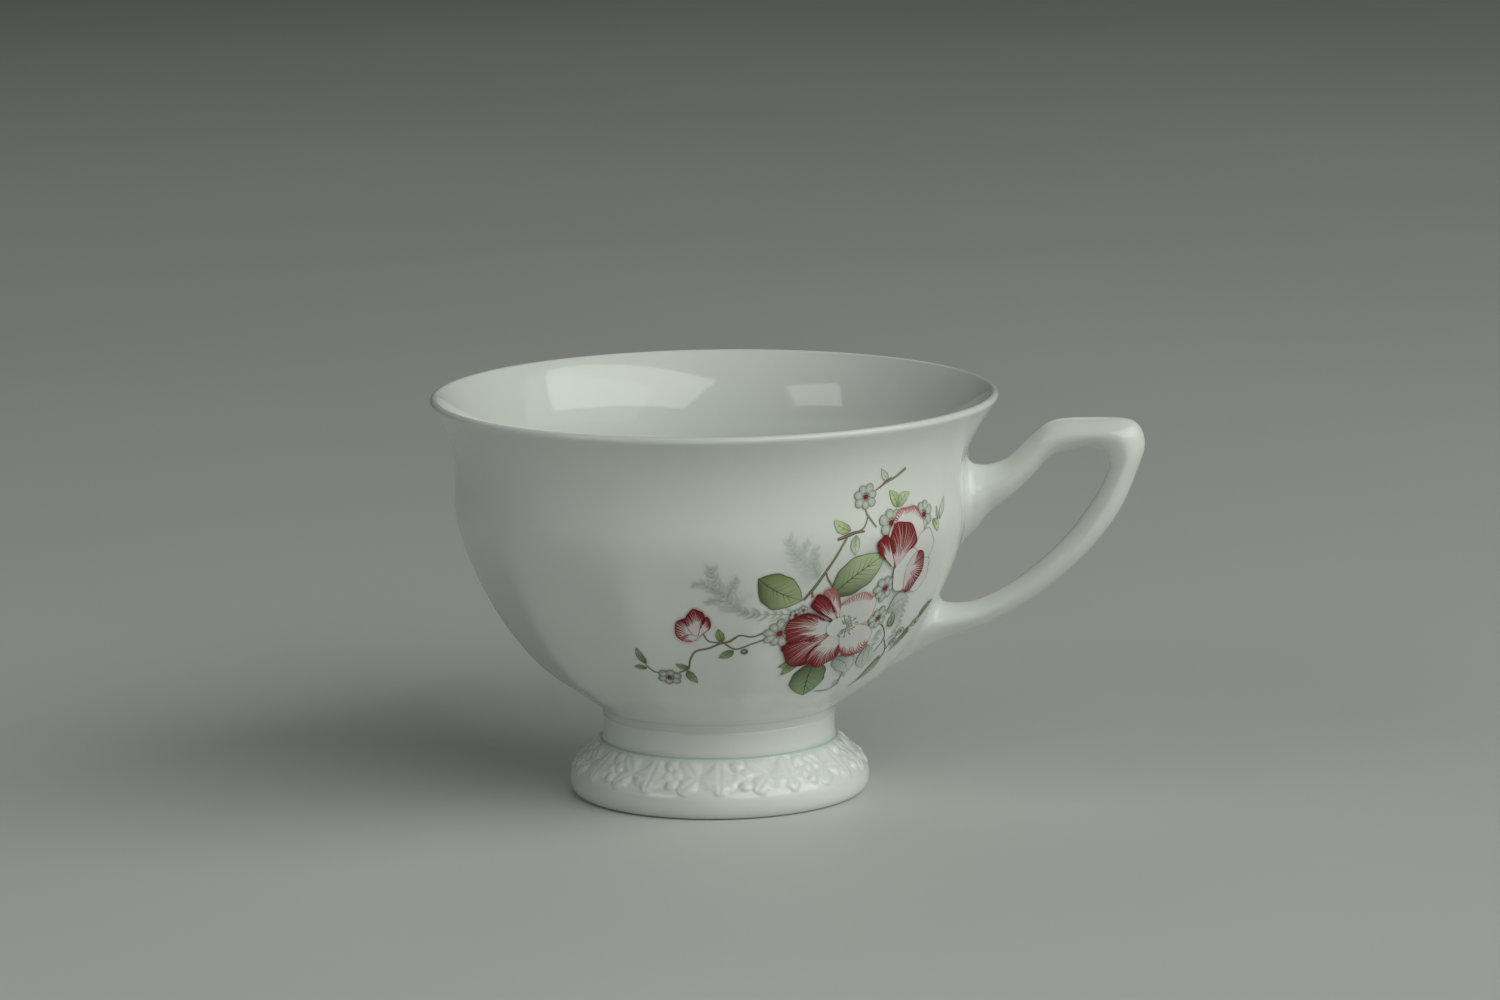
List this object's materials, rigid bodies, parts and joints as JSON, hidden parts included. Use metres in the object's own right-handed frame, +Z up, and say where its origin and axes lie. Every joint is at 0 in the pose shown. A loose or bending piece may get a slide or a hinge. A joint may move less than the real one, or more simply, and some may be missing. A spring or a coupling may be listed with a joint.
{
  "type": "teacup",
  "caption": "White glazed porcelain cup with flat-panelled bowl, flared mouth, plain collar, relief foot and a looped handle; floral sprays on its sides.",
  "frame": {"origin": "centre of the ring the cup stands on, at the level of the table", "axes": "+Z up along the bowl's axis, +X from that axis to the handle, +Y to the side away from the large floral spray"},
  "size_m": [0.1232, 0.098, 0.07],
  "materials": {
    "glazed_porcelain": "gloss",
    "luting_slip": "gloss",
    "bare_porcelain": "matte",
    "overglaze_colours": "gloss"
  },
  "bodies": {
    "root": {"bowl": "glazed_porcelain", "neck_collar": "glazed_porcelain", "foot": "glazed_porcelain", "handle": "glazed_porcelain", "bowl_slip": "luting_slip", "foot_slip": "luting_slip", "upper_handle_slip": "luting_slip", "lower_handle_slip": "luting_slip"}
  },
  "joints": []
}
